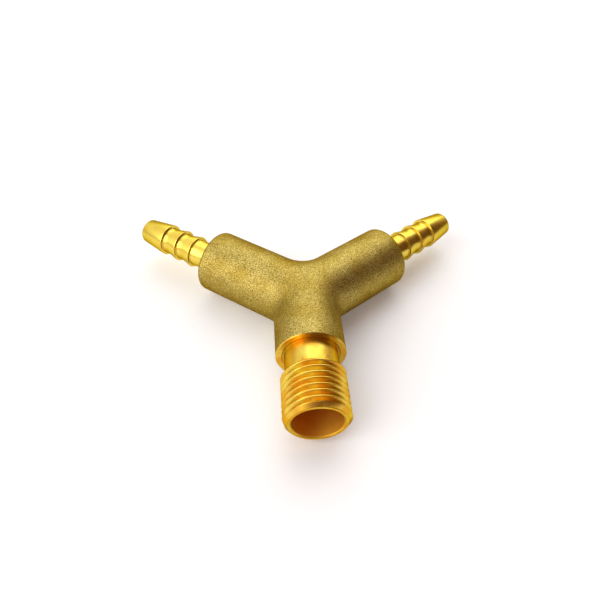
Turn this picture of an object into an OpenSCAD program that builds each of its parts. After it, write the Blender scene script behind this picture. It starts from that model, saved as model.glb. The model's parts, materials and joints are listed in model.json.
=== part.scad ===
// Brass Y connector: a forged three-arm body with a turned, male-threaded nipple
// seated in one arm and a turned, barbed hose tail seated in each of the other two.
// It lies flat, with the three arm axes in one level plane and the nipple towards -Y.

/* [Forged body] */
// Diameter of each of the three arms
arm_d = 14.6; // [14:0.1:17]
// Junction centre to the machined shoulder of the threaded arm
front_arm_l = 15.7; // [15:0.1:24]
// Junction centre to the end of each hose arm
hose_arm_l = 25.3; // [20:0.1:36]
// Angle between the threaded arm and each hose arm
arm_angle = 125; // [118:1:130]
// Radius of the blended crotches between the arms
crotch_r = 3.8; // [2:0.2:5]
// Rounding of the far edge of each hose arm
arm_edge_r = 0.9; // [0.4:0.1:1.4]
// Diameter of the drilled water passages
passage_d = 6; // [4:0.2:7]

/* [Threaded nipple] */
// Major diameter of the G1/4 parallel pipe thread
thread_d = 13.157; // [13:0.001:13.2]
// Thread pitch, 19 threads per inch
thread_pitch = 1.337; // [1.2:0.001:1.4]
// Thread depth, major to minor radius
thread_h = 0.856; // [0.7:0.001:0.9]
// Complete threads on the nipple
thread_turns = 7; // [5:1:10]
// Diameter of the plain neck between shoulder and thread
neck_d = 11.2; // [10.6:0.1:11.4]
// Length of the plain neck
neck_l = 4.8; // [3:0.1:7]
// Length of the chamfer at the nipple's mouth
mouth_l = 0.8; // [0.5:0.1:1.4]
// Outer diameter of the lip left by the mouth chamfer
lip_d = 11.5; // [11:0.1:12]
// Flank angle of the thread, half of its 55 degree included angle
flank_angle = 27.5; // [25:0.5:30]
// Bevel inside the nipple's mouth
mouth_bevel = 0.2; // [0.1:0.1:0.4]
// Bore of the nipple
nipple_bore_d = 10; // [8.5:0.1:10]
// Diameter of the nipple's shank, inside the body
nipple_shank_d = 11.8; // [11.5:0.1:12]
// Length of the nipple's shank, inside the body
nipple_shank_l = 6.5; // [5:0.5:7]

/* [Hose tails] */
// Diameter of the barb crests
barb_d = 7.7; // [7.4:0.1:8.4]
// Diameter of the valleys between barbs
valley_d = 6.5; // [6:0.1:7]
// Diameter of the tail's tip
tip_d = 6; // [5.8:0.1:6.6]
// Length of the tail outside the body
tail_l = 21.5; // [20:0.5:26]
// End of the arm to the steep face of the nearest barb
first_barb = 5.6; // [4:0.1:6]
// Spacing of the barbs' steep faces
barb_pitch = 4.3; // [3.6:0.1:4.4]
// Length of the short barbs' cones
barb_cone_l = 2.4; // [1.5:0.1:2.8]
// Width of each barb's crest
barb_crest_l = 0.3; // [0.2:0.1:0.5]
// Rounding of the tip's edge
tip_edge_r = 0.7; // [0.3:0.1:0.8]
// Bore of each hose tail
tail_bore_d = 4; // [3.4:0.1:4]
// Diameter of the tail's shank, inside the body
tail_shank_d = 8.4; // [8:0.1:9.4]
// Length of the tail's shank, inside the body
tail_shank_l = 8; // [6:0.5:9]

/* [Brazed joints] */
// Radial gap between each shank and its socket
braze_gap = 0.03; // [0.02:0.01:0.05]
// Width of each braze ring along its shank
ring_w = 0.8; // [0.6:0.1:1.2]
// Thickness of each braze ring
ring_t = 0.5; // [0.4:0.1:0.6]
// Depth of each braze ring inside its socket
ring_depth = 3; // [2:0.5:3.5]

/* [Hidden] */

$fn = 72;
arm_r = arm_d / 2;
ring_gap = 0.02;       // the ring's clearance at its inner and outer faces
blend_gap = 0.05;      // keeps the crotch blends just inside the arms' surface
overrun = 2;           // how far each drilled passage runs past the junction centre

// Headings of the arms in the level plane, measured from +X
front_heading = -90;
left_heading = front_heading - arm_angle;
right_heading = front_heading + arm_angle;

// Stations along the nipple, measured from the shoulder
flank_l = thread_h * tan(flank_angle);
crest_l = thread_pitch / 2 - flank_l;
thread_end = neck_l + thread_turns * thread_pitch + flank_l + crest_l;
nipple_l = thread_end + mouth_l;

// The part is centred on its own box: its two ends in Y are the nipple's lip
// and the rounded rim of the hose tails' tips
reach = hose_arm_l + tail_l - tip_edge_r;
back_y = reach * sin(right_heading) + (tip_d / 2 - tip_edge_r) * cos(right_heading) + tip_edge_r;
front_y = -(front_arm_l + nipple_l);
centre_y = -(back_y + front_y) / 2;

// Moves arm geometry, built along +Z from the junction centre, onto an arm
module on_arm(heading)
    translate([0, centre_y, arm_r]) rotate([0, 0, heading]) rotate([0, 90, 0]) children();

// A turned piece: its half section is drawn with the radius along X
module turned()
    rotate_extrude() children();

// Half section of a hose arm with its far edge rounded
module hose_arm_section() {
    flat_r = arm_r - arm_edge_r;
    square([arm_r, hose_arm_l - arm_edge_r]);
    square([flat_r, hose_arm_l]);
    translate([flat_r, hose_arm_l - arm_edge_r]) circle(arm_edge_r, $fn = 32);
}

// A pipe-bend blend that fills the crotch between two arms, opening at each
module crotch(heading, between) {
    bend_r = crotch_r + arm_r;
    sweep = 180 - between;
    centre = bend_r / sin(between / 2);
    translate([0, centre_y, arm_r]) rotate([0, 0, heading]) translate([centre, 0, 0])
        rotate([0, 0, 180 - sweep / 2]) rotate_extrude(angle = sweep)
            translate([bend_r, 0]) circle(arm_r - blend_gap, $fn = 64);
}

// The space cut from an arm: socket, braze groove and drilled passage
module drilling(arm_l, shank_d, shank_l) {
    translate([0, 0, -overrun]) cylinder(d = passage_d, h = arm_l + overrun);
    translate([0, 0, arm_l - shank_l]) cylinder(d = shank_d + 2 * braze_gap, h = shank_l + 1);
    translate([0, 0, arm_l - ring_depth - ring_w])
        cylinder(d = shank_d + 2 * (braze_gap + ring_t), h = ring_w);
}

module forged_body() color("darkkhaki") difference() {
    union() {
        on_arm(front_heading) cylinder(r = arm_r, h = front_arm_l);
        on_arm(left_heading) turned() hose_arm_section();
        on_arm(right_heading) turned() hose_arm_section();
        crotch(front_heading - arm_angle / 2, arm_angle);
        crotch(front_heading + arm_angle / 2, arm_angle);
        crotch(-front_heading, 360 - 2 * arm_angle);
    }
    on_arm(front_heading) drilling(front_arm_l, nipple_shank_d, nipple_shank_l);
    on_arm(left_heading) drilling(hose_arm_l, tail_shank_d, tail_shank_l);
    on_arm(right_heading) drilling(hose_arm_l, tail_shank_d, tail_shank_l);
}

// One thread ridge as the points of its half section, from the given station
function ridge(z) = let (minor_r = thread_d / 2 - thread_h, major_r = thread_d / 2) [
    [minor_r, z],
    [major_r, z + flank_l],
    [major_r, z + flank_l + crest_l],
    [minor_r, z + 2 * flank_l + crest_l]];

module nipple_section() {
    bore_r = nipple_bore_d / 2;
    ridges = [for (i = [0:thread_turns - 1]) each ridge(neck_l + i * thread_pitch)];
    polygon(concat(
        [[bore_r, -nipple_shank_l], [nipple_shank_d / 2, -nipple_shank_l],
         [nipple_shank_d / 2, 0], [neck_d / 2, 0], [neck_d / 2, neck_l]],
        ridges,
        [[thread_d / 2 - thread_h, thread_end - crest_l - flank_l],
         [thread_d / 2, thread_end - crest_l], [thread_d / 2, thread_end],
         [lip_d / 2, nipple_l], [bore_r + mouth_bevel, nipple_l],
         [bore_r, nipple_l - mouth_bevel]]));
}

module threaded_nipple() color("gold")
    on_arm(front_heading) translate([0, 0, front_arm_l]) turned() nipple_section();

// One barb as the points of its half section: a steep face towards the body,
// a short crest, then a cone falling to the valley or to the tip
function barb(z, end_r, cone_l) = [
    [valley_d / 2, z], [barb_d / 2, z], [barb_d / 2, z + barb_crest_l],
    [end_r, z + barb_crest_l + cone_l]];

module tail_section() {
    bore_r = tail_bore_d / 2;
    shank_r = tail_shank_d / 2;
    last_barb = first_barb + 2 * barb_pitch;
    rim_r = tip_d / 2 - tip_edge_r;
    rim_z = tail_l - tip_edge_r;
    polygon(concat(
        [[bore_r, -tail_shank_l], [shank_r, -tail_shank_l], [shank_r, 0], [valley_d / 2, 0]],
        barb(first_barb, valley_d / 2, barb_cone_l),
        barb(first_barb + barb_pitch, valley_d / 2, barb_cone_l),
        barb(last_barb, tip_d / 2, rim_z - last_barb - barb_crest_l),
        [for (a = [15:15:90]) [rim_r + tip_edge_r * cos(a), rim_z + tip_edge_r * sin(a)]],
        [[bore_r, tail_l]]));
}

module hose_tail(heading)
    on_arm(heading) translate([0, 0, hose_arm_l]) turned() tail_section();

module left_hose_tail() color("gold") hose_tail(left_heading);

module right_hose_tail() color("gold") hose_tail(right_heading);

// A ring of brazing alloy in the groove around a shank
module braze_ring(heading, arm_l, shank_d)
    on_arm(heading) translate([0, 0, arm_l - ring_depth - ring_w]) difference() {
        cylinder(d = shank_d + 2 * (braze_gap + ring_t - ring_gap), h = ring_w);
        translate([0, 0, -1]) cylinder(d = shank_d + 2 * ring_gap, h = ring_w + 2);
    }

module nipple_braze_ring() color("silver")
    braze_ring(front_heading, front_arm_l, nipple_shank_d);

module left_braze_ring() color("silver")
    braze_ring(left_heading, hose_arm_l, tail_shank_d);

module right_braze_ring() color("silver")
    braze_ring(right_heading, hose_arm_l, tail_shank_d);

forged_body();
threaded_nipple();
left_hose_tail();
right_hose_tail();
nipple_braze_ring();
left_braze_ring();
right_braze_ring();
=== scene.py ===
"""Brass Y connector: the finished pieces, their materials and a small studio, on the packed frame.

Each piece is made by one operator, which the panel in the sidebar lists. Sizes that the packed
frame holds are read from it, and the rest are the property groups' defaults, in metres.
"""
import json
import math

import bpy
from bpy.props import FloatProperty, FloatVectorProperty, IntProperty, PointerProperty
from mathutils import Matrix, Vector


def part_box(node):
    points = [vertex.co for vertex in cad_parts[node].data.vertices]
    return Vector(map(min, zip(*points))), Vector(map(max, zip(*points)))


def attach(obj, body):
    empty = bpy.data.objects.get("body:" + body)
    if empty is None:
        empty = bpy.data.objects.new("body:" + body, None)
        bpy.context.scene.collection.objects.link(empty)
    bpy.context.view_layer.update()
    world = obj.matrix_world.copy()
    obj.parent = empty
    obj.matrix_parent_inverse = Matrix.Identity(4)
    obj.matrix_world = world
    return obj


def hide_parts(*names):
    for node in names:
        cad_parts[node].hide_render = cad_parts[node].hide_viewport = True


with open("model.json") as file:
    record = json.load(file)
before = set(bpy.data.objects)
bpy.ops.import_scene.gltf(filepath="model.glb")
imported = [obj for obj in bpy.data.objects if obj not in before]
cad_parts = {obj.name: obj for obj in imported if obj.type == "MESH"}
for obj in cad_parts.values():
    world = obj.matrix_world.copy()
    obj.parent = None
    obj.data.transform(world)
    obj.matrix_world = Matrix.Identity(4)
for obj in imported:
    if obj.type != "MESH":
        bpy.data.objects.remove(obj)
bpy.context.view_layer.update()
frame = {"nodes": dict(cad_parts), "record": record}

bl_info = {
    "name": "Brass Y connector",
    "version": (1, 0, 0),
    "blender": (4, 5, 0),
    "location": "View3D > Sidebar > Y Connector",
    "description": "Models a forged Y body with a threaded nipple and two barbed hose tails",
    "category": "Add Mesh",
}

TURN = 2 * math.pi


# ---------------------------------------------------------------- places from the frame

def mount(name):
    """One of the record's mounts, by name."""
    return next(m for m in frame["record"]["mounts"] if m["name"] == name)


def mount_radius(name):
    """The radius of a mount's bore or barb, in metres."""
    return mount(name)["dims"]["r_mm"] / 1000


def arm_directions():
    """The ways the three arms point: the threaded arm, then the left and right hose arms."""
    names = ("threaded_port", "left_hose_barb", "right_hose_barb")
    return [Vector(mount(name)["axis"]).normalized() for name in names]


def junction():
    """The point where the three arm axes meet."""
    right = mount("right_hose_barb")
    start, way = Vector(right["pos_m"]), Vector(right["axis"])
    return start - way * (start.x / way.x)


def arm_matrix(way):
    """Places work that is built along +Z from the origin onto the arm that points this way."""
    return Matrix.Translation(junction()) @ way.to_track_quat("Z", "Y").to_matrix().to_4x4()


def arm_radius():
    """Half the thickness of the forged body."""
    low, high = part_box("forged_body")
    return (high.z - low.z) / 2


def shoulder_station():
    """Junction to the machined shoulder, along the threaded arm."""
    return junction().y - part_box("forged_body")[0].y


def lip_station():
    """Junction to the nipple's lip."""
    return junction().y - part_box("threaded_nipple")[0].y


def end_station(node, radius, rounding):
    """Junction to the far end of a node on the right arm, with this end radius, rounded."""
    way = arm_directions()[2]
    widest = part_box(node)[1].x - rounding - (radius - rounding) * way.y
    return widest / way.x + rounding


# ---------------------------------------------------------------- sizes and finishes

def length(label, description, default):
    """A size in metres."""
    return FloatProperty(name=label, description=description, default=default, precision=6,
                         min=0.0, unit="LENGTH", subtype="DISTANCE")


def colour(label, description, default):
    """A linear colour."""
    return FloatVectorProperty(name=label, description=description, default=default, size=3,
                               min=0.0, max=1.0, subtype="COLOR")


class BodySizes(bpy.types.PropertyGroup):
    """The forged body."""
    edge_rounding: length("Edge rounding", "Rounding of the far edge of each hose arm", 0.0009)
    crotch_radius: length("Crotch radius", "Radius of the blend between two arms", 0.0038)
    skin_cell: length("Skin cell", "Size of one face of the forged skin", 0.00027)
    blend_reach: length("Blend reach", "Distance from the junction where its softening ends", 0.0135)
    blend_passes: IntProperty(name="Blend passes", description="Passes that soften the junction",
                              default=24, min=0)
    passage_radius: length("Passage radius", "Radius of the drilled passages", 0.003)
    passage_overrun: length("Passage overrun", "How far a drill runs past the junction", 0.002)
    shoulder_bevel: length("Shoulder bevel", "Bevel round the machined shoulder", 0.00016)
    socket_bevel: length("Socket bevel", "Bevel at the mouth of each socket", 0.00014)


class NippleSizes(bpy.types.PropertyGroup):
    """The threaded nipple."""
    neck_radius: length("Neck radius", "Radius of the plain neck", 0.0056)
    neck_length: length("Neck length", "Shoulder to the start of the thread", 0.0048)
    run_in: length("Run-in", "Length of the cone that starts the thread", 0.00055)
    pitch: length("Pitch", "Thread pitch, 19 threads to the inch", 0.001337)
    depth: length("Thread depth", "Major to minor radius", 0.000856)
    crest_rounding: length("Crest rounding", "Radius of the thread's crest", 0.00011)
    root_rounding: length("Root rounding", "Radius of the thread's root", 0.00015)
    first_root: length("First root", "Shoulder to the first root on the upper side", 0.0047)
    mouth_length: length("Mouth length", "Length of the chamfer at the mouth", 0.0008)
    lip_radius: length("Lip radius", "Outer radius of the lip", 0.00575)
    mouth_bevel: length("Mouth bevel", "Bevel inside the lip", 0.0002)
    shank_radius: length("Shank radius", "Radius of the hidden shank", 0.0059)
    shank_length: length("Shank length", "Length of the hidden shank", 0.0065)


class TailSizes(bpy.types.PropertyGroup):
    """The barbed hose tails."""
    valley_radius: length("Valley radius", "Radius between two barbs", 0.00325)
    tip_radius: length("Tip radius", "Radius at the tip", 0.003)
    tip_rounding: length("Tip rounding", "Rounding of the tip's rim", 0.0007)
    first_barb: length("First barb", "Arm's end to the nearest barb's steep face", 0.0056)
    barb_pitch: length("Barb pitch", "Spacing of the steep faces", 0.0043)
    crest_width: length("Crest width", "Width of each barb's crest", 0.0003)
    cone_length: length("Cone length", "Length of a short barb's cone", 0.0024)
    crest_rounding: length("Crest rounding", "Rounding of the turned corners", 0.00012)
    bore_bevel: length("Bore bevel", "Bevel at the mouth of the bore", 0.0003)
    shank_radius: length("Shank radius", "Radius of the hidden shank", 0.0042)
    shank_length: length("Shank length", "Length of the hidden shank", 0.008)


class JointSizes(bpy.types.PropertyGroup):
    """The brazed joints between the shanks and the body."""
    gap: length("Braze gap", "Radial gap between a shank and its socket", 0.00003)
    ring_width: length("Ring width", "Width of a braze ring", 0.0008)
    ring_thickness: length("Ring thickness", "Thickness of a braze ring", 0.0005)
    ring_depth: length("Ring depth", "Depth of a braze ring in its socket", 0.003)


class Finishes(bpy.types.PropertyGroup):
    """Colours and roughness of the metals."""
    forged_light: colour("Forged, light", "Bright grains of the blasted skin", (0.74, 0.565, 0.16))
    forged_dark: colour("Forged, dark", "Dark grains of the blasted skin", (0.14, 0.10, 0.018))
    forged_warm: colour("Forged, warm", "Warm patches of the blasted skin", (0.58, 0.40, 0.07))
    turned_light: colour("Turned, light", "Clean turned brass", (0.82, 0.62, 0.10))
    turned_deep: colour("Turned, deep", "Slightly tarnished turned brass", (0.76, 0.41, 0.04))
    # The bore colour is painted shade: darker, redder brass inside the bores that paints how light
    # dims and reddens as it bounces about in them, rather than tarnish.
    bore: colour("Bore", "Tarnished brass inside the bores", (0.88, 0.49, 0.055))
    edge_tint: colour("Edge tint", "Tint of what the metal mirrors at its edges", (0.32, 0.22, 0.04))
    speck: colour("Speck", "Small stains on the turned brass", (0.30, 0.17, 0.03))
    braze: colour("Braze", "Silver-brass brazing alloy", (0.78, 0.72, 0.55))
    nipple_bright: FloatProperty(name="Nipple bright", default=0.32,
                                 description="How much of the nipple is free of tarnish")
    tail_bright: FloatProperty(name="Tail bright", default=0.55,
                               description="How much of each hose tail is free of tarnish")
    grain_size: length("Grain size", "Size of the blasted skin's pits", 0.00022)
    tool_mark: length("Tool mark", "Spacing of the lathe's marks", 0.00016)


class StageSettings(bpy.types.PropertyGroup):
    """Camera, light and floor."""
    azimuth: FloatProperty(name="Azimuth", description="Camera's bearing round the part",
                           default=math.radians(-5.114), subtype="ANGLE", unit="ROTATION")
    elevation: FloatProperty(name="Elevation", description="Camera's height above the level",
                             default=math.radians(46.147), subtype="ANGLE", unit="ROTATION")
    roll: FloatProperty(name="Roll", description="Camera's turn about its own line of sight",
                        default=math.radians(1.771), subtype="ANGLE", unit="ROTATION")
    distance: length("Distance", "Camera to the aim point", 0.11333)
    aim_right: FloatProperty(name="Aim right", description="Aim point from the junction, in X",
                             default=-0.0012, unit="LENGTH", subtype="DISTANCE", precision=6)
    aim_back: FloatProperty(name="Aim back", description="Aim point from the junction, in Y",
                            default=0.00019, unit="LENGTH", subtype="DISTANCE", precision=6)
    lens: FloatProperty(name="Lens", description="Focal length on a 36 mm wide sensor",
                        default=30.09, unit="CAMERA")
    floor: colour("Floor", "Colour of the table", (0.90, 0.90, 0.91))
    floor_glow: FloatProperty(name="Floor glow", description="Light given off by the table",
                              default=0.13)
    room_light: FloatProperty(name="Room light", description="Brightness of the room's walls",
                              default=1.1)
    shadow_tint: colour("Shadow tint", "Colour of the room's dim sides", (1.0, 0.42, 0.22))
    floor_size: length("Floor size", "Width of the table", 6.0)


GROUPS = {
    "y_body": BodySizes,
    "y_nipple": NippleSizes,
    "y_tail": TailSizes,
    "y_joint": JointSizes,
    "y_finish": Finishes,
    "y_stage": StageSettings,
}


# ---------------------------------------------------------------- modelling

def only(piece):
    """Selects this object alone and makes it active."""
    if bpy.context.mode != "OBJECT":
        bpy.ops.object.mode_set(mode="OBJECT")
    bpy.ops.object.select_all(action="DESELECT")
    piece.select_set(True)
    bpy.context.view_layer.objects.active = piece


def clear_selection():
    """Leaves edit mode and deselects every object."""
    if bpy.context.mode != "OBJECT":
        bpy.ops.object.mode_set(mode="OBJECT")
    bpy.ops.object.select_all(action="DESELECT")


def modify(piece, kind, **settings):
    """Adds one modifier with these settings and applies it."""
    only(piece)
    bpy.ops.object.modifier_add(type=kind)
    modifier = piece.modifiers[-1]
    for setting, value in settings.items():
        setattr(modifier, setting, value)
    bpy.ops.object.modifier_apply(modifier=modifier.name)


def draw_section(points):
    """Draws a closed half section of (radius, station) corners, edge by edge, in edit mode."""
    clear_selection()
    bpy.ops.mesh.primitive_plane_add(size=0.001, enter_editmode=True)
    bpy.ops.mesh.select_mode(type="VERT")
    bpy.ops.mesh.select_all(action="SELECT")
    bpy.ops.mesh.merge(type="CENTER")
    corners = [Vector((radius, 0, station)) for radius, station in points]
    bpy.ops.transform.translate(value=corners[0])
    for here, there in zip(corners, corners[1:] + corners[:1]):
        bpy.ops.mesh.extrude_region_move(TRANSFORM_OT_translate={"value": there - here})
    close_up()
    return bpy.context.object


def close_up():
    """Merges doubles and turns every face outwards, in edit mode."""
    bpy.ops.mesh.select_all(action="SELECT")
    bpy.ops.mesh.remove_doubles(threshold=1e-6)
    bpy.ops.mesh.normals_make_consistent(inside=False)


def spin_section(points, steps=128):
    """Spins a closed half section round Z into a solid, as a lathe would turn it."""
    solid = draw_section(points)
    bpy.ops.mesh.select_all(action="SELECT")
    bpy.ops.mesh.spin(steps=steps, angle=TURN, center=(0, 0, 0), axis=(0, 0, 1))
    close_up()
    bpy.ops.object.mode_set(mode="OBJECT")
    return solid


def place(piece, matrix):
    """Moves a piece onto an arm and leaves its object at the origin, unturned."""
    piece.matrix_world = matrix
    only(piece)
    bpy.ops.object.transform_apply(location=True, rotation=True, scale=True)


def cut(piece, cutter):
    """Takes the cutter's shape out of the piece. The cut faces keep the cutter's material."""
    modify(piece, "BOOLEAN", operation="DIFFERENCE", solver="EXACT", object=cutter,
           material_mode="TRANSFER")
    bpy.data.objects.remove(cutter)


def hand_over(piece, name, nodes, smooth_below):
    """Names a finished piece, shades it and ties it to the frame."""
    piece.name = piece.data.name = name
    only(piece)
    bpy.ops.object.shade_smooth_by_angle(angle=smooth_below)
    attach(piece, "root")
    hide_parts(*nodes)


def arc(centre, radius, start, end, steps):
    """Points on an arc in the section plane, both ends included, angles in degrees."""
    angles = [math.radians(start + (end - start) * i / steps) for i in range(steps + 1)]
    return [(centre[0] + radius * math.cos(a), centre[1] + radius * math.sin(a)) for a in angles]


# ---------------------------------------------------------------- materials

class Value:
    """One number, colour or vector from a node tree. Python's operators on it add Math nodes."""

    def __init__(self, nodes, socket):
        self.nodes, self.socket = nodes, socket

    def _math(self, operation, first, second):
        return self.nodes.node("ShaderNodeMath", {"operation": operation}, {0: first, 1: second})

    def __add__(self, other):
        return self._math("ADD", self, other)

    __radd__ = __add__

    def __mul__(self, other):
        return self._math("MULTIPLY", self, other)

    __rmul__ = __mul__

    def __pow__(self, other):
        return self._math("POWER", self, other)

    def __rpow__(self, other):
        return self._math("POWER", other, self)


class Nodes:
    """The node tree of a material or of the room, which ends in one shader."""

    def __init__(self, owner, shader):
        owner.use_nodes = True
        self.tree = owner.node_tree
        self.shader = self.tree.nodes[shader]

    def node(self, kind, settings, values, output=0):
        """Adds a node: first its settings, then the values or links of its sockets.

        A ramp's setting is its stops, pairs of a position and a colour."""
        node = self.tree.nodes.new(kind)
        for setting, value in settings.items():
            if setting == "stops":
                for element, (position, shade) in zip(node.color_ramp.elements, value):
                    element.position, element.color = position, (*shade, 1)
            else:
                setattr(node, setting, value)
        for socket, value in values.items():
            if isinstance(value, Value):
                self.tree.links.new(value.socket, node.inputs[socket])
            else:
                node.inputs[socket].default_value = value
        return Value(self, node.outputs[output])

    def drive(self, **values):
        """Links values to the shader's own sockets."""
        for socket, value in values.items():
            self.tree.links.new(value.socket, self.shader.inputs[socket.replace("_", " ")])


class Finish(Nodes):
    """One procedural material on a Principled BSDF."""

    def __init__(self, name, **constants):
        self.material = bpy.data.materials.new(name)
        super().__init__(self.material, "Principled BSDF")
        for socket, value in constants.items():
            self.shader.inputs[socket.replace("_", " ")].default_value = value

    def coordinates(self, matrix=None):
        """Object coordinates, measured along an arm when its matrix is given."""
        plain = self.node("ShaderNodeTexCoord", {}, {}, output="Object")
        if matrix is None:
            return plain
        return self.node("ShaderNodeMapping", {"vector_type": "TEXTURE"},
                         {"Vector": plain, "Location": matrix.to_translation(),
                          "Rotation": matrix.to_euler()})

    def split(self, vector):
        """The X, Y and Z of a vector."""
        first = self.node("ShaderNodeSeparateXYZ", {}, {"Vector": vector})
        return [Value(self, socket) for socket in first.socket.node.outputs]

    def noise(self, where, size, detail=2.0, roughness=0.5):
        """Soft noise with features of about this size, in metres."""
        return self.node("ShaderNodeTexNoise", {"noise_dimensions": "3D"},
                         {"Vector": where, "Scale": 1 / size, "Detail": detail,
                          "Roughness": roughness})

    def ramp(self, value, *stops):
        """A value pushed through a ramp of (position, grey) stops."""
        shades = [(position, (grey,) * 3) for position, grey in stops]
        return self.node("ShaderNodeValToRGB", {"stops": shades}, {"Fac": value})

    def blend(self, factor, first, second):
        """A colour between two colours."""
        pair = [c if isinstance(c, Value) else (*c, 1) for c in (first, second)]
        return self.node("ShaderNodeMix", {"data_type": "RGBA"},
                         {"Factor": factor, "A": pair[0], "B": pair[1]}, output="Result")

    def bump(self, height, depth):
        """A surface normal from a height of 0 to 1, this deep in metres."""
        return self.node("ShaderNodeBump", {}, {"Height": height, "Distance": depth}, "Normal")


def blasted_brass(finishes):
    """Dull forged brass with a fine, even, grit-blasted skin."""
    fine_size, patch_size, pit_depth = finishes.grain_size / 2.6, 0.0065, 0.00012
    finish = Finish("blasted brass", Metallic=1.0, Specular_Tint=(*finishes.edge_tint, 1))
    where = finish.coordinates()
    grain = finish.noise(where, finishes.grain_size, detail=3.0, roughness=0.65)
    fine = finish.noise(where, fine_size, detail=2.0)
    patches = finish.noise(where, patch_size, detail=2.0)
    pits = finish.ramp(grain, (0.36, 0.0), (0.62, 1.0))
    warm = finish.ramp(patches, (0.38, 0.0), (0.68, 1.0))
    light = finish.blend(warm, finishes.forged_light, finishes.forged_warm)
    skin = finish.blend(pits, finishes.forged_dark, light)
    finish.drive(Base_Color=skin, Roughness=0.30 + 0.16 * fine + 0.06 * patches,
                 Normal=finish.bump(grain * 0.75 + fine * 0.25, pit_depth))
    return finish.material


def turned_brass(name, finishes, matrix, bore_radius, bright):
    """Lathe-turned brass, with fine tool marks round its own axis and a rougher bore, whose darker,
    redder colour is painted shade.

    Patches where the tarnish noise is under the bright level stay clean."""
    tarnish_size, stain_size, mark_depth = 0.0031, 0.0011, 0.0000035
    tarnish_edge, stain_strength = 0.3, 0.5
    face_feed, bore_margin = 0.83, 1.02
    finish = Finish(name, Metallic=1.0, Specular_Tint=(*finishes.edge_tint, 1))
    where = finish.coordinates(matrix)
    across, over, along = finish.split(where)
    radius = (across * across + over * over) ** 0.5
    feed = along + radius * face_feed
    marks = finish.node("ShaderNodeTexNoise", {"noise_dimensions": "1D"},
                        {"W": feed * (1 / finishes.tool_mark), "Scale": 1.0, "Detail": 2.0})
    # Mask of the bore, where the painted shade goes.
    bore = finish.node("ShaderNodeMath", {"operation": "LESS_THAN"},
                       {0: radius, 1: bore_radius * bore_margin})
    tarnish = finish.ramp(finish.noise(where, tarnish_size, detail=4.0),
                          (bright, 0.0), (bright + tarnish_edge, 1.0))
    stains = finish.ramp(finish.noise(where, stain_size, detail=1.0), (0.73, 0.0), (0.79, 1.0))
    clean = finish.blend(tarnish, finishes.turned_light, finishes.turned_deep)
    outside = finish.blend(stains * stain_strength, clean, finishes.speck)
    # Painted shade: inside the bores the darker, redder bore colour stands in for light that dims
    # and reddens as it bounces about in them.
    skin = finish.blend(bore, outside, finishes.bore)
    finish.drive(Base_Color=skin,
                 Roughness=0.22 + 0.1 * marks + 0.07 * tarnish + 0.2 * stains + 0.30 * bore,
                 Normal=finish.bump(marks, mark_depth))
    return finish.material


def braze_alloy(finishes):
    """Pale brazing alloy, with the soft skin of metal that has flowed."""
    ripple_size, ripple_depth, dull = 0.0006, 0.00002, 0.7
    finish = Finish("braze alloy", Metallic=1.0)
    flow = finish.noise(finish.coordinates(), ripple_size, detail=3.0)
    skin = finish.blend(flow, finishes.braze, tuple(c * dull for c in finishes.braze))
    finish.drive(Base_Color=skin, Roughness=0.25 + 0.2 * flow,
                 Normal=finish.bump(flow, ripple_depth))
    return finish.material


def table_top(stage):
    """A plain pale matt surface."""
    finish = Finish("table top", Roughness=0.6, Emission_Color=(1, 1, 1, 1),
                    Emission_Strength=stage.floor_glow)
    mottle_size, mottle_shade = 0.05, 0.995
    mottle = finish.noise(finish.coordinates(), mottle_size)
    skin = finish.blend(mottle, stage.floor, tuple(c * mottle_shade for c in stage.floor))
    finish.drive(Base_Color=skin)
    return finish.material


# ---------------------------------------------------------------- the pieces

def arm_blank(way, radius, far, rounding):
    """One plain arm from the junction outwards, its far edge rounded."""
    clear_selection()
    bpy.ops.mesh.primitive_cylinder_add(vertices=144, radius=radius, depth=far,
                                        location=(0, 0, far / 2))
    blank = bpy.context.object
    bpy.ops.object.transform_apply(location=True)
    if rounding:
        rim = far - 1e-6
        for edge in blank.data.edges:
            edge.select = all(blank.data.vertices[i].co.z > rim for i in edge.vertices)
        for group in (blank.data.vertices, blank.data.polygons):
            for element in group:
                element.select = False
        bpy.ops.object.mode_set(mode="EDIT")
        bpy.ops.mesh.select_mode(type="EDGE")
        bpy.ops.mesh.bevel(offset=rounding, segments=8, profile=0.5, affect="EDGES")
        bpy.ops.object.mode_set(mode="OBJECT")
    place(blank, arm_matrix(way))
    return blank


def crotch_blank(first, second, radius, crotch_radius):
    """The bend of round bar that blends the crotch between two arms."""
    sweep = math.pi - first.angle(second)
    bend = radius + crotch_radius
    half_way = (first + second).normalized()
    centre = junction() + half_way * (bend / math.cos(sweep / 2))
    inward = Matrix.Rotation(-sweep / 2, 3, "Z") @ -half_way
    along = inward.cross(Vector((0, 0, 1)))
    clear_selection()
    bpy.ops.mesh.primitive_circle_add(vertices=96, radius=radius, location=centre + inward * bend,
                                      rotation=along.to_track_quat("Z", "Y").to_euler())
    bpy.ops.object.transform_apply(location=True, rotation=True)
    bpy.ops.object.mode_set(mode="EDIT")
    bpy.ops.mesh.select_all(action="SELECT")
    bpy.ops.mesh.spin(steps=24, angle=-sweep, center=centre, axis=(0, 0, 1))
    bpy.ops.mesh.select_all(action="SELECT")
    bpy.ops.mesh.fill_holes(sides=0)
    close_up()
    bpy.ops.object.mode_set(mode="OBJECT")
    return bpy.context.object


def soften_junction(body, reach, passes):
    """Softens the creases near the junction, as a forging die does, and leaves the arms alone.

    The smoothing is full in the inner two thirds of the reach and fades out in the rest."""
    centre = junction()
    fade = 3.0
    near = body.vertex_groups.new(name="near junction")
    for vertex in body.data.vertices:
        distance = (vertex.co - centre).length / reach
        near.add([vertex.index], min(1.0, max(0.0, fade * (1.0 - distance))), "REPLACE")
    modify(body, "SMOOTH", factor=0.5, iterations=passes, vertex_group=near.name)
    body.vertex_groups.clear()


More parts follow.
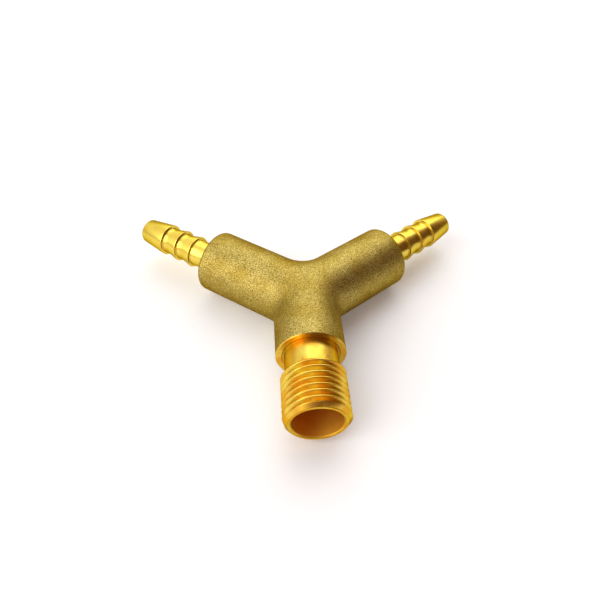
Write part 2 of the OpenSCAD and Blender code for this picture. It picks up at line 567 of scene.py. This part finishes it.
def socket_section(station, shank_radius, shank_length, body, joint):
    """Half section of a drilled passage and the socket at its mouth, up to the arm's end."""
    socket = shank_radius + joint.gap
    groove = socket + joint.ring_thickness
    ring_end = station - joint.ring_depth
    return [(0, -body.passage_overrun), (body.passage_radius, -body.passage_overrun),
            (body.passage_radius, station - shank_length), (socket, station - shank_length),
            (socket, ring_end - joint.ring_width), (groove, ring_end - joint.ring_width),
            (groove, ring_end), (socket, ring_end), (socket, station - body.socket_bevel),
            (socket + body.socket_bevel, station)]


def build_body(scene):
    """Forges the body, then machines its shoulder, sockets and passages.

    The threaded arm's blank and the cutters run past the finished faces by the spare length, and
    the shoulder's cutter stands out past the arm by the skirt."""
    spare, skirt = 0.001, 0.0008
    body, joint = scene.y_body, scene.y_joint
    front, left, right = arm_directions()
    radius = arm_radius()
    shoulder = shoulder_station()
    hose_end = end_station("forged_body", radius, body.edge_rounding)
    blanks = [arm_blank(front, radius, shoulder + spare, 0)]
    blanks += [arm_blank(way, radius, hose_end, body.edge_rounding) for way in (left, right)]
    for pair in ((front, left), (right, front), (left, right)):
        blanks.append(crotch_blank(*pair, radius, body.crotch_radius))
    clear_selection()
    for blank in blanks:
        blank.select_set(True)
    bpy.context.view_layer.objects.active = blanks[0]
    bpy.ops.object.join()
    forging = bpy.context.object
    modify(forging, "REMESH", mode="VOXEL", voxel_size=body.skin_cell, use_smooth_shade=True)
    soften_junction(forging, body.blend_reach, body.blend_passes)
    modify(forging, "SMOOTH", factor=0.5, iterations=3)
    forging.data.materials.clear()
    forging.data.materials.append(bpy.data.materials["blasted brass"])

    nipple, tail = scene.y_nipple, scene.y_tail
    facing = [(radius - body.shoulder_bevel, shoulder),
              (radius + skirt, shoulder - body.shoulder_bevel - skirt),
              (radius + skirt, shoulder + 2 * spare), (0, shoulder + 2 * spare)]
    cutters = [(front, "nipple brass",
                socket_section(shoulder, nipple.shank_radius, nipple.shank_length, body, joint)
                + facing)]
    mouth = tail.shank_radius + joint.gap + body.socket_bevel
    for way, metal in ((left, "left tail brass"), (right, "right tail brass")):
        cutters.append((way, metal,
                        socket_section(hose_end, tail.shank_radius, tail.shank_length, body, joint)
                        + [(mouth, hose_end + spare), (0, hose_end + spare)]))
    for way, metal, section in cutters:
        cutter = spin_section(section)
        cutter.data.materials.append(bpy.data.materials[metal])
        place(cutter, arm_matrix(way))
        cut(forging, cutter)
    hand_over(forging, "body_forging", ["forged_body"],
              smooth_below=math.radians(28))


def groove_section(nipple, major):
    """Section of one thread groove, from crest to crest, as the space that a tool takes out.

    Each flank leans 27.5 degrees from square to the axis, and a narrow land tops each crest."""
    half = nipple.pitch / 2
    tilt = 90 - 27.5
    land, clearance = 0.00004, 0.0002
    root, crest = nipple.root_rounding, nipple.crest_rounding
    minor = major - nipple.depth
    root_arc = arc((minor + root, 0), root, start=180, end=180 - tilt, steps=4)
    crest_arc = arc((major - crest, half - land), crest, start=-tilt, end=0, steps=4)
    side = root_arc + crest_arc
    proud = (major + clearance, half - land)
    upper = side + [proud]
    lower = [(r, -z) for r, z in reversed(upper)]
    return lower + upper[1:]


def build_nipple(scene):
    """Turns the nipple's blank and cuts its thread."""
    nipple = scene.y_nipple
    shoulder, lip = shoulder_station(), lip_station()
    major = mount_radius("threaded_port")
    bore = mount_radius("nipple_bore")
    thread = shoulder + nipple.neck_length
    blank = spin_section([
        (bore, shoulder - nipple.shank_length),
        (nipple.shank_radius, shoulder - nipple.shank_length),
        (nipple.shank_radius, shoulder), (nipple.neck_radius, shoulder),
        (nipple.neck_radius, thread), (major, thread + nipple.run_in),
        (major, lip - nipple.mouth_length), (nipple.lip_radius, lip),
        (bore + nipple.mouth_bevel, lip), (bore, lip - nipple.mouth_bevel)], steps=160)
    spare_turns = 3
    turns = math.ceil((lip - thread) / nipple.pitch) + spare_turns
    cutter = draw_section(groove_section(nipple, major))
    bpy.ops.object.mode_set(mode="OBJECT")
    modify(cutter, "SCREW", axis="Z", screw_offset=nipple.pitch, iterations=turns,
           steps=96, render_steps=96, use_normal_calculate=True, use_merge_vertices=True,
           merge_threshold=1e-7)
    only(cutter)
    bpy.ops.object.mode_set(mode="EDIT")
    bpy.ops.mesh.select_all(action="SELECT")
    bpy.ops.mesh.fill_holes(sides=0)
    close_up()
    bpy.ops.object.mode_set(mode="OBJECT")
    cutter.location.z = shoulder + nipple.first_root - nipple.pitch
    only(cutter)
    bpy.ops.object.transform_apply(location=True)
    blank.data.materials.append(bpy.data.materials["nipple brass"])
    cutter.data.materials.append(bpy.data.materials["nipple brass"])
    cut(blank, cutter)
    place(blank, arm_matrix(arm_directions()[0]))
    hand_over(blank, "nipple_turned", ["threaded_nipple"],
              smooth_below=math.radians(24))


def tail_section(tail, hose_end, tip):
    """Half section of a hose tail, from its shank to its tip."""
    crest = mount_radius("left_hose_barb")
    bore = mount_radius("left_tail_bore")
    section = [(bore, hose_end - tail.shank_length),
               (tail.shank_radius, hose_end - tail.shank_length),
               (tail.shank_radius, hose_end), (tail.valley_radius, hose_end)]
    barbs = 3
    for i in range(barbs):
        face = hose_end + tail.first_barb + i * tail.barb_pitch
        section += [(tail.valley_radius, face), (crest, face), (crest, face + tail.crest_width)]
        if i < barbs - 1:
            section.append((tail.valley_radius, face + tail.crest_width + tail.cone_length))
    rim = (tail.tip_radius - tail.tip_rounding, tip - tail.tip_rounding)
    section += arc(rim, tail.tip_rounding, start=15, end=90, steps=6)
    return section + [(bore + tail.bore_bevel, tip), (bore, tip - tail.bore_bevel)]


def build_tails(scene):
    """Turns one hose tail for each hose arm."""
    tail = scene.y_tail
    hose_end = end_station("forged_body", arm_radius(), scene.y_body.edge_rounding)
    tip = end_station("right_hose_tail", tail.tip_radius, tail.tip_rounding)
    for side, way in zip(("left", "right"), arm_directions()[1:]):
        piece = spin_section(tail_section(tail, hose_end, tip))
        modify(piece, "BEVEL", width=tail.crest_rounding, segments=3, limit_method="ANGLE",
               angle_limit=math.radians(25), use_clamp_overlap=True)
        piece.data.materials.append(bpy.data.materials[side + " tail brass"])
        place(piece, arm_matrix(way))
        hand_over(piece, side + "_tail_turned", [side + "_hose_tail"],
                  smooth_below=math.radians(40))


def finish_rings():
    """Gives the braze rings, which the frame already holds, their alloy."""
    for node in ("nipple_braze_ring", "left_braze_ring", "right_braze_ring"):
        ring = frame["nodes"][node]
        ring.data.materials.clear()
        ring.data.materials.append(bpy.data.materials["braze alloy"])


def make_finishes(scene):
    """Makes every metal that the pieces are given."""
    finishes = scene.y_finish
    blasted_brass(finishes)
    braze_alloy(finishes)
    names = ("nipple brass", "left tail brass", "right tail brass")
    bores = ("nipple_bore", "left_tail_bore", "right_tail_bore")
    levels = (finishes.nipple_bright, finishes.tail_bright, finishes.tail_bright)
    for name, way, bore, bright in zip(names, arm_directions(), bores, levels):
        turned_brass(name, finishes, arm_matrix(way), mount_radius(bore), bright)


# ---------------------------------------------------------------- the studio

def bearing_way(bearing, height):
    """The way to a bearing, anticlockwise from the front as seen from above, and a height."""
    return Vector((math.sin(bearing) * math.cos(height), -math.cos(bearing) * math.cos(height),
                   math.sin(height)))


def softbox(name, centre, bearing, height, distance, size, power):
    """A square soft light on a bearing and height, in degrees, that faces the part."""
    way = bearing_way(math.radians(bearing), math.radians(height))
    lamp = bpy.data.lights.new(name, "AREA")
    lamp.shape, lamp.size, lamp.energy = "SQUARE", size, power
    holder = bpy.data.objects.new(name, lamp)
    bpy.context.collection.objects.link(holder)
    holder.location = centre + way * distance
    holder.rotation_euler = way.to_track_quat("Z", "Y").to_euler()


def dim_side(room, way, bearing, height, edge, core, shade):
    """A factor that falls from 1 at a cone's edge to a shade in its core, angles in degrees."""
    middle = bearing_way(math.radians(bearing), math.radians(height))
    nearness = room.node("ShaderNodeVectorMath", {"operation": "DOT_PRODUCT"},
                         {0: way, 1: middle}, output="Value")
    return room.node("ShaderNodeMapRange", {"interpolation_type": "SMOOTHSTEP"},
                     {"Value": nearness, "From Min": math.cos(math.radians(edge)),
                      "From Max": math.cos(math.radians(core)), "To Min": 1, "To Max": shade},
                     output="Result")


def studio_room(brightness, shadow_tint):
    """A pale room that is dim and warm in front on the right, round the camera and low down.

    The metals mirror the dim sides, but a camera that looks that way sees a white wall."""
    white = (1, 1, 1)
    world = bpy.data.worlds.new("studio room")
    room = Nodes(world, "Background")
    way = room.node("ShaderNodeTexCoord", {}, {}, output="Generated")
    front_right = dim_side(room, way, bearing=66, height=29, edge=67, core=29, shade=0.12)
    camera_side = dim_side(room, way, bearing=-5, height=46, edge=42, core=16, shade=0.25)
    low_down = dim_side(room, way, bearing=0, height=-90, edge=114, core=88, shade=0.45)
    light = brightness * front_right * camera_side * low_down
    to_camera = room.node("ShaderNodeLightPath", {}, {}, output="Is Camera Ray")
    seen = room.node("ShaderNodeMath", {"operation": "MAXIMUM"}, {0: light, 1: to_camera})
    tint = room.node("ShaderNodeValToRGB", {"stops": ((0.15, shadow_tint), (0.8, white))},
                     {"Fac": seen})
    room.drive(Color=tint, Strength=seen)
    return world


def build_stage(scene):
    """Lays the table, hangs the lights and sets the camera."""
    stage = scene.y_stage
    clear_selection()
    bpy.ops.mesh.primitive_plane_add(size=stage.floor_size, location=(0, 0, 0))
    table = bpy.context.object
    table.name = "table"
    table.data.materials.append(table_top(stage))

    centre = junction()
    softbox("left softbox", centre, bearing=-60, height=35, distance=1.6, size=1.3, power=13)
    softbox("back softbox", centre, bearing=165, height=46, distance=1.6, size=1.7, power=9)
    scene.world = studio_room(stage.room_light, stage.shadow_tint)

    aim = centre + Vector((stage.aim_right, stage.aim_back, 0))
    back = bearing_way(stage.azimuth, stage.elevation)
    lens = bpy.data.cameras.new("camera")
    lens.sensor_width, lens.lens = 36.0, stage.lens
    lens.clip_start, lens.clip_end = 0.005, 20.0
    camera = bpy.data.objects.new("camera", lens)
    bpy.context.collection.objects.link(camera)
    right = Vector((math.cos(stage.azimuth), math.sin(stage.azimuth), 0))
    up = back.cross(right)
    side = right * math.cos(stage.roll) + up * math.sin(stage.roll)
    top = up * math.cos(stage.roll) - right * math.sin(stage.roll)
    camera.matrix_world = (Matrix.Translation(aim + back * stage.distance)
                           @ Matrix((side, top, back)).transposed().to_4x4())
    scene.camera = camera
    scene.view_settings.view_transform = "Standard"
    scene.cycles.glossy_bounces = scene.cycles.max_bounces


# ---------------------------------------------------------------- operators and panel

class YCONN_OT_finishes(bpy.types.Operator):
    """Make the brass and brazing alloy materials"""
    bl_idname = "y_connector.finishes"
    bl_label = "Finishes"

    def execute(self, context):
        make_finishes(context.scene)
        return {"FINISHED"}


class YCONN_OT_body(bpy.types.Operator):
    """Forge and machine the three-arm body"""
    bl_idname = "y_connector.body"
    bl_label = "Forged Body"

    def execute(self, context):
        build_body(context.scene)
        return {"FINISHED"}


class YCONN_OT_nipple(bpy.types.Operator):
    """Turn the nipple and cut its pipe thread"""
    bl_idname = "y_connector.nipple"
    bl_label = "Threaded Nipple"

    def execute(self, context):
        build_nipple(context.scene)
        return {"FINISHED"}


class YCONN_OT_tails(bpy.types.Operator):
    """Turn the two barbed hose tails"""
    bl_idname = "y_connector.tails"
    bl_label = "Hose Tails"

    def execute(self, context):
        build_tails(context.scene)
        return {"FINISHED"}


class YCONN_OT_rings(bpy.types.Operator):
    """Give the braze rings their alloy"""
    bl_idname = "y_connector.rings"
    bl_label = "Braze Rings"

    def execute(self, context):
        finish_rings()
        return {"FINISHED"}


class YCONN_OT_stage(bpy.types.Operator):
    """Lay the table, hang the lights and set the camera"""
    bl_idname = "y_connector.stage"
    bl_label = "Stage"

    def execute(self, context):
        build_stage(context.scene)
        return {"FINISHED"}


OPERATORS = (YCONN_OT_finishes, YCONN_OT_body, YCONN_OT_nipple, YCONN_OT_tails,
             YCONN_OT_rings, YCONN_OT_stage)


class YCONN_PT_panel(bpy.types.Panel):
    """The connector's sizes and the operators that build it"""
    bl_label = "Brass Y Connector"
    bl_space_type = "VIEW_3D"
    bl_region_type = "UI"
    bl_category = "Y Connector"

    def draw(self, context):
        for operator in OPERATORS:
            self.layout.operator(operator.bl_idname)
        for group_name, group in GROUPS.items():
            box = self.layout.box()
            box.label(text=group.__doc__)
            settings = getattr(context.scene, group_name)
            for setting in group.__annotations__:
                box.prop(settings, setting)


def register():
    """Registers the classes and hangs the property groups on the scene."""
    for cls in (*GROUPS.values(), *OPERATORS, YCONN_PT_panel):
        bpy.utils.register_class(cls)
    for name, group in GROUPS.items():
        setattr(bpy.types.Scene, name, PointerProperty(type=group))


def unregister():
    """Takes away what register added."""
    for name in GROUPS:
        delattr(bpy.types.Scene, name)
    for cls in reversed((*GROUPS.values(), *OPERATORS, YCONN_PT_panel)):
        bpy.utils.unregister_class(cls)


def main():
    """Builds every piece and the stage."""
    register()
    bpy.ops.y_connector.finishes()
    bpy.ops.y_connector.body()
    bpy.ops.y_connector.nipple()
    bpy.ops.y_connector.tails()
    bpy.ops.y_connector.rings()
    bpy.ops.y_connector.stage()


if __name__ == "__main__":
    main()
